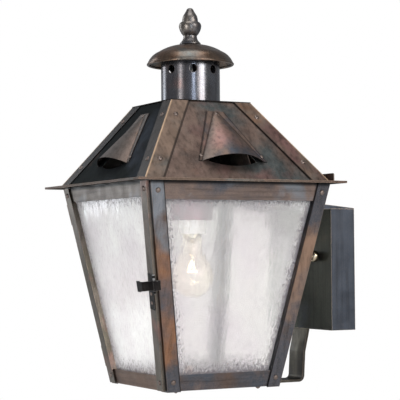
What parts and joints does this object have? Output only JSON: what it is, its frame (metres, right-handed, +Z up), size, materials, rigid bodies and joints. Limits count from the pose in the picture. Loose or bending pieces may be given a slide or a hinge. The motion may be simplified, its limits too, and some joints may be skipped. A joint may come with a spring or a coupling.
{
  "type": "wall lantern",
  "caption": "Outdoor wall lantern of patinated copper sheet with a tapered body, seeded glass, a hinged door, a hipped roof with vent scoops, a chimney cap with finial and a wall box",
  "frame": {"origin": "middle of the crossbar's outlet-box screw pattern, on the wall", "axes": "+Z up, +Y into the wall, +X to the right seen from the room; the door faces -Y"},
  "size_m": [0.312, 0.3705, 0.5296],
  "materials": {
    "bottom_arm": "dark bronze",
    "bottom_plate": "patinated copper sheet",
    "bottom_rails": "patinated copper sheet",
    "bottom_screws": "patinated copper sheet",
    "box_studs": "zinc plated steel",
    "bulb_base": "bright screw cap",
    "bulb_filament": "glowing tungsten wire",
    "bulb_glass": "clear glass",
    "bulb_stem": "clear glass",
    "cap_nuts": "polished brass",
    "chimney": "patinated copper sheet",
    "corner_post_back_left": "patinated copper sheet",
    "corner_post_back_right": "patinated copper sheet",
    "corner_post_front_left": "patinated copper sheet",
    "corner_post_front_right": "patinated copper sheet",
    "crossbar": "zinc plated steel",
    "dome_cap": "patinated copper sheet",
    "door_bottom_rail": "patinated copper sheet",
    "door_clips": "patinated copper sheet",
    "door_pane": "seeded glass",
    "door_rivets": "tinned copper",
    "door_stile_left": "patinated copper sheet",
    "door_stile_right": "patinated copper sheet",
    "door_top_rail": "patinated copper sheet",
    "eave_plate": "patinated copper sheet",
    "finial": "patinated copper sheet",
    "finial_rod": "zinc plated steel",
    "front_header": "patinated copper sheet",
    "front_sill": "patinated copper sheet",
    "hinge_door_leaves": "patinated copper sheet",
    "hinge_pins": "zinc plated steel",
    "hinge_post_leaves": "patinated copper sheet",
    "hip_straps": "patinated copper sheet",
    "lamp_socket": "white porcelain",
    "latch_bracket": "blackened",
    "latch_lever": "blackened",
    "latch_pin": "zinc plated steel",
    "latch_spring": "zinc plated steel",
    "lock_nuts": "zinc plated steel",
    "pane_clips": "patinated copper sheet",
    "rear_upstand": "patinated copper sheet",
    "rivets": "tinned copper",
    "rod_bridge": "zinc plated steel",
    "rod_nut_and_washer": "zinc plated steel",
    "roof_panel_back": "patinated copper sheet",
    "roof_panel_front": "patinated copper sheet",
    "roof_panel_left": "patinated copper sheet",
    "roof_panel_right": "patinated copper sheet",
    "roof_top_plate": "patinated copper sheet",
    "side_panes": "seeded glass",
    "small_rivets": "tinned copper",
    "socket_bridge": "patinated copper sheet",
    "socket_cup": "patinated copper sheet",
    "socket_nipple": "zinc plated steel",
    "stud_nuts_and_ground_screw": "zinc plated steel",
    "top_arm": "dark bronze",
    "top_rails": "patinated copper sheet",
    "vent_scoops": "patinated copper sheet",
    "wall_box": "dark bronze",
    "wire_tube": "zinc plated steel"
  },
  "bodies": {
    "lantern": {"bottom_arm": "bottom_arm", "bottom_plate": "bottom_plate", "bottom_rails": "bottom_rails", "bottom_screws": "bottom_screws", "box_studs": "box_studs", "bulb_base": "bulb_base", "bulb_filament": "bulb_filament", "bulb_glass": "bulb_glass", "bulb_stem": "bulb_stem", "cap_nuts": "cap_nuts", "chimney": "chimney", "corner_post_back_left": "corner_post_back_left", "corner_post_back_right": "corner_post_back_right", "corner_post_front_left": "corner_post_front_left", "corner_post_front_right": "corner_post_front_right", "crossbar": "crossbar", "dome_cap": "dome_cap", "eave_plate": "eave_plate", "finial": "finial", "finial_rod": "finial_rod", "front_header": "front_header", "front_sill": "front_sill", "hinge_pins": "hinge_pins", "hinge_post_leaves": "hinge_post_leaves", "hip_straps": "hip_straps", "lamp_socket": "lamp_socket", "lock_nuts": "lock_nuts", "pane_clips": "pane_clips", "rear_upstand": "rear_upstand", "rivets": "rivets", "rod_bridge": "rod_bridge", "rod_nut_and_washer": "rod_nut_and_washer", "roof_panel_back": "roof_panel_back", "roof_panel_front": "roof_panel_front", "roof_panel_left": "roof_panel_left", "roof_panel_right": "roof_panel_right", "roof_top_plate": "roof_top_plate", "side_panes": "side_panes", "small_rivets": "small_rivets", "socket_bridge": "socket_bridge", "socket_cup": "socket_cup", "socket_nipple": "socket_nipple", "stud_nuts_and_ground_screw": "stud_nuts_and_ground_screw", "top_arm": "top_arm", "top_rails": "top_rails", "vent_scoops": "vent_scoops", "wall_box": "wall_box", "wire_tube": "wire_tube"},
    "door": {"door_stile_left": "door_stile_left", "door_stile_right": "door_stile_right", "door_top_rail": "door_top_rail", "door_bottom_rail": "door_bottom_rail", "door_pane": "door_pane", "door_clips": "door_clips", "door_rivets": "door_rivets", "hinge_door_leaves": "hinge_door_leaves", "latch_bracket": "latch_bracket", "latch_pin": "latch_pin", "latch_spring": "latch_spring"},
    "latch": {"latch_lever": "latch_lever"}
  },
  "joints": [
    {"name": "door_swing", "type": "hinge", "parent": "lantern", "child": "door", "pos_m": [-0.11872, -0.33077, 0], "axis": [0.1833, 0.1707, -0.9681], "range_deg": [0, 110]},
    {"name": "latch_turn", "type": "hinge", "parent": "door", "child": "latch", "pos_m": [0.11019, -0.32619, -0.04679], "axis": [-0.1833, 0.1707, -0.9681], "range_deg": [0, 18], "stiffness_Nm_per_rad": 0.02, "springref_deg": -17.19}
  ]
}
